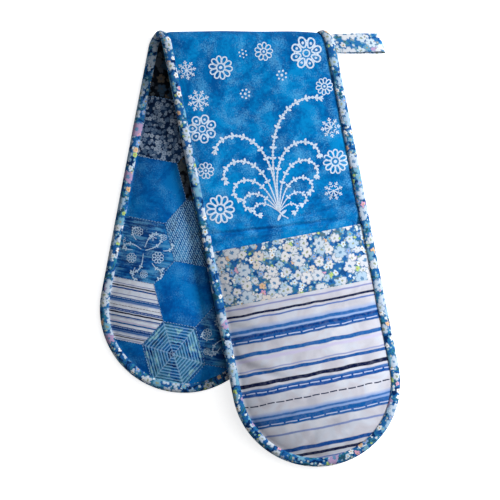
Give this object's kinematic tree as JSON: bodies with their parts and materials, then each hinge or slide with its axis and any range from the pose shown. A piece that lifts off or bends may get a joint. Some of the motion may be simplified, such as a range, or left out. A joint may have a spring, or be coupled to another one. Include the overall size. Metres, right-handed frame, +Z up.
{
  "type": "double oven glove",
  "caption": "Padded strip with a hand pocket sewn on each round end, folded in half over itself, with bound edges and a hanging loop.",
  "frame": {"origin": "middle of the footprint of the folded glove, on the table it lies on", "axes": "+Z up from the table, +Y towards the fold, +X towards the side the hanging loop sticks out on"},
  "size_m": [0.3168, 0.4642, 0.0396],
  "materials": {
    "blue_print_cotton": "matt woven cotton, mottled blue print",
    "striped_cotton": "matt woven cotton, off-white with blue stripes",
    "floral_cotton": "matt woven cotton, small flower print",
    "patchwork_cotton": "matt woven cotton printed with hexagon patches",
    "lining_cotton": "matt plain woven cotton",
    "cotton_wadding": "soft needled cotton wadding",
    "heat_reflecting_cloth": "needled polyester with a dull metal-coloured film"
  },
  "bodies": {
    "back_half": {"back_reverse_fabric": "patchwork_cotton", "back_heat_layer": "heat_reflecting_cloth", "back_wadding": "cotton_wadding", "back_outer_fabric": "blue_print_cotton", "back_pocket_lining": "lining_cotton", "back_pocket_wadding": "cotton_wadding", "back_pocket_striped_panel": "striped_cotton", "back_pocket_mouth_band": "floral_cotton", "back_edge_binding": "floral_cotton"},
    "front_half": {"front_reverse_fabric": "patchwork_cotton", "front_heat_layer": "heat_reflecting_cloth", "front_wadding": "cotton_wadding", "front_outer_fabric": "blue_print_cotton", "front_pocket_lining": "lining_cotton", "front_pocket_wadding": "cotton_wadding", "front_pocket_striped_panel": "striped_cotton", "front_pocket_mouth_band": "floral_cotton", "front_edge_binding": "floral_cotton"},
    "loop": {"hanging_loop": "floral_cotton"}
  },
  "joints": [
    {"name": "fold", "type": "hinge", "parent": "back_half", "child": "front_half", "pos_m": [-0.0075, 0.23212, 0.01515], "axis": [-1, 0, 0], "range_deg": [0, 175]},
    {"name": "loop_bend", "type": "hinge", "parent": "front_half", "child": "loop", "pos_m": [0.09314, 0.21782, 0.02712], "axis": [0.3112, -0.9327, 0.182], "range_deg": [-25, 90], "stiffness_Nm_per_rad": 0.005}
  ]
}
